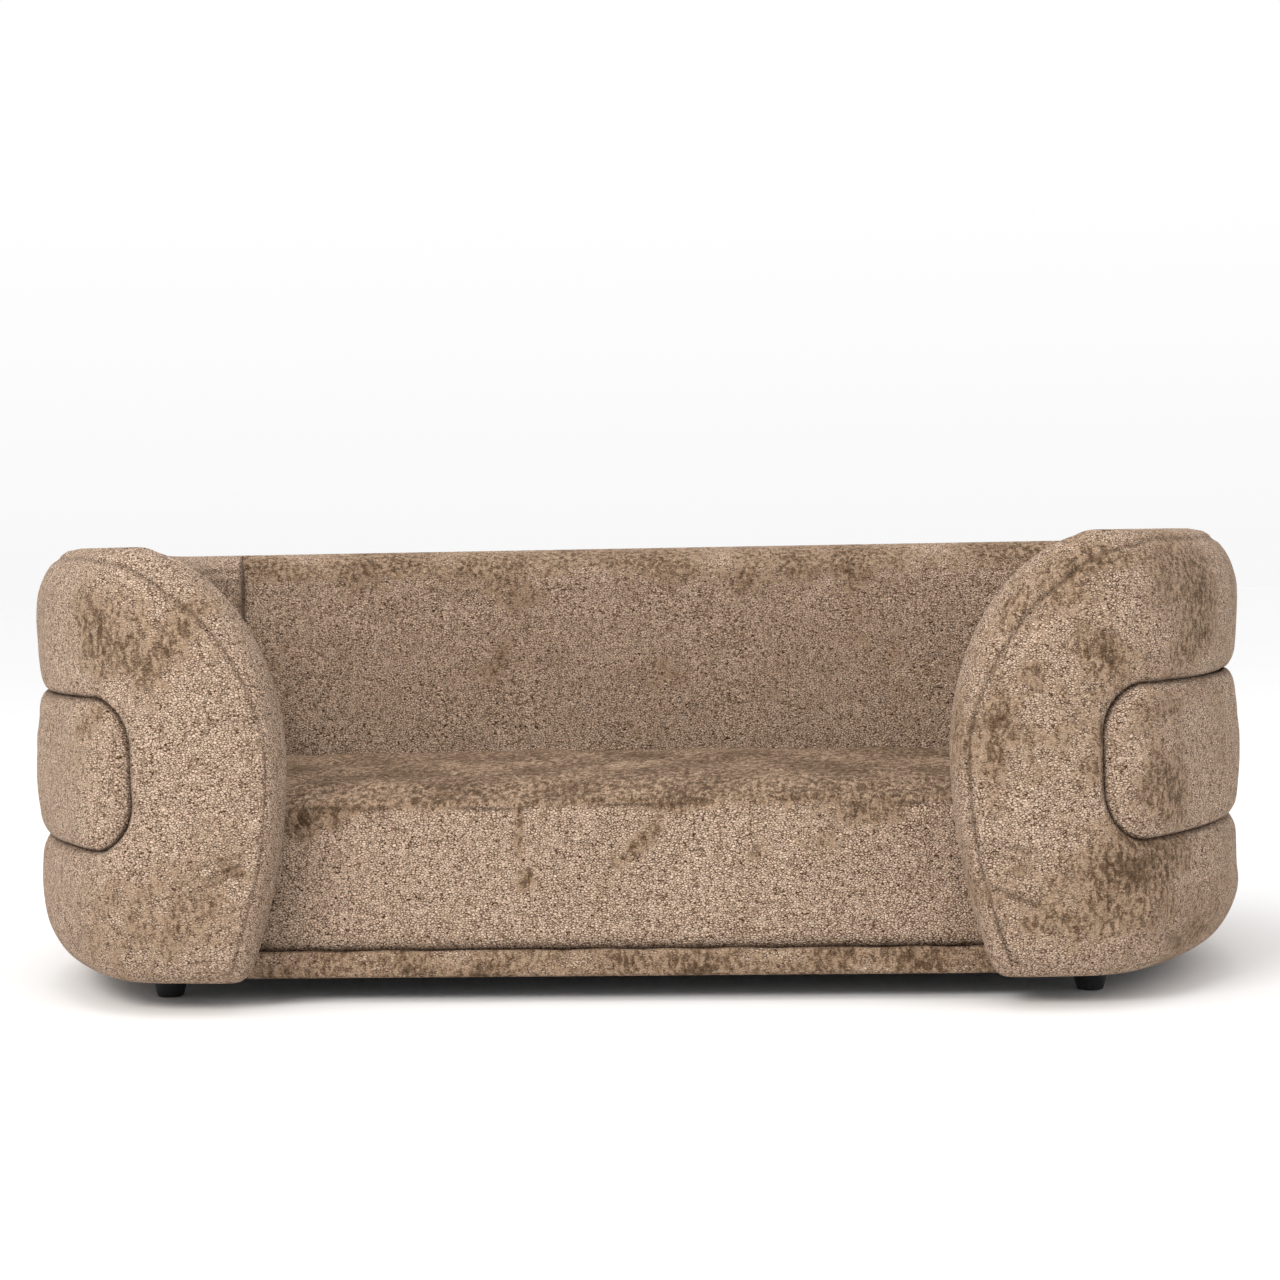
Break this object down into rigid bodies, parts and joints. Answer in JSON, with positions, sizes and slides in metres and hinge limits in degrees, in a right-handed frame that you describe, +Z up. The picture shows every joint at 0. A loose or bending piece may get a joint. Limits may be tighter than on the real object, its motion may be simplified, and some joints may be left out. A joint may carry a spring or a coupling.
{
  "type": "pet sofa",
  "caption": "Low upholstered pet sofa: padded C-shaped wall with half-moon front shields, a removable thick seat cushion with a zipped cover, and short tapered feet.",
  "frame": {"origin": "on the floor, under the middle of the plan outline", "axes": "+X to the right as seen from the front, +Y to the back, +Z up; the open front faces -Y"},
  "size_m": [0.9, 0.5734, 0.32],
  "materials": {
    "chenille": "matte",
    "plywood": "matte",
    "foam": "matte",
    "foot_plastic": "satin",
    "steel": "satin",
    "nonwoven": "matte",
    "deck_cloth": "matte",
    "zip_tape": "matte",
    "zip_plastic": "satin",
    "zip_metal": "satin"
  },
  "bodies": {
    "root": {"back_band": "chenille", "back_bottom_rib": "plywood", "back_frame_blocks": "plywood", "back_inner_skin": "plywood", "back_lower_pad": "chenille", "back_middle_ribs": "plywood", "back_outer_skin": "plywood", "back_top_rib": "plywood", "back_top_roll": "chenille", "back_upper_pad": "chenille", "backrest_pad": "chenille", "base_board": "plywood", "base_front_strip": "chenille", "deck_cloth": "deck_cloth", "dust_cover": "nonwoven", "dust_cover_staples": "steel", "foot_front_left": "foot_plastic", "foot_front_right": "foot_plastic", "foot_rear_left": "foot_plastic", "foot_rear_right": "foot_plastic", "foot_studs": "steel", "frame_screws": "steel", "left_band": "chenille", "left_bottom_rib": "plywood", "left_frame_blocks": "plywood", "left_inner_pad": "chenille", "left_inner_skin": "plywood", "left_lower_pad": "chenille", "left_middle_ribs": "plywood", "left_outer_skin": "plywood", "left_shield_core": "chenille", "left_shield_face_pad": "chenille", "left_shield_former": "plywood", "left_top_rib": "plywood", "left_top_roll": "chenille", "left_upper_pad": "chenille", "right_band": "chenille", "right_bottom_rib": "plywood", "right_frame_blocks": "plywood", "right_inner_pad": "chenille", "right_inner_skin": "plywood", "right_lower_pad": "chenille", "right_middle_ribs": "plywood", "right_outer_skin": "plywood", "right_shield_core": "chenille", "right_shield_face_pad": "chenille", "right_shield_former": "plywood", "right_top_rib": "plywood", "right_top_roll": "chenille", "right_upper_pad": "chenille", "tee_nuts": "steel"},
    "cushion": {"cushion_cover": "chenille", "cushion_foam": "foam", "zip_tapes": "zip_tape", "zip_coil": "zip_plastic"},
    "zip_slider": {"zip_slider": "zip_metal"},
    "zip_pull": {"zip_pull": "zip_metal"}
  },
  "joints": [
    {"name": "cushion_lift", "type": "slide", "parent": "root", "child": "cushion", "axis": [0, 0, 1], "range_m": [0, 0.34]},
    {"name": "zip_slide", "type": "slide", "parent": "cushion", "child": "zip_slider", "axis": [-1, 0, 0], "range_m": [0, 0.556]},
    {"name": "zip_pull_swing", "type": "hinge", "parent": "zip_slider", "child": "zip_pull", "pos_m": [0.278, 0.18655, 0.088], "axis": [0, 0, -1], "range_deg": [0, 90]}
  ]
}
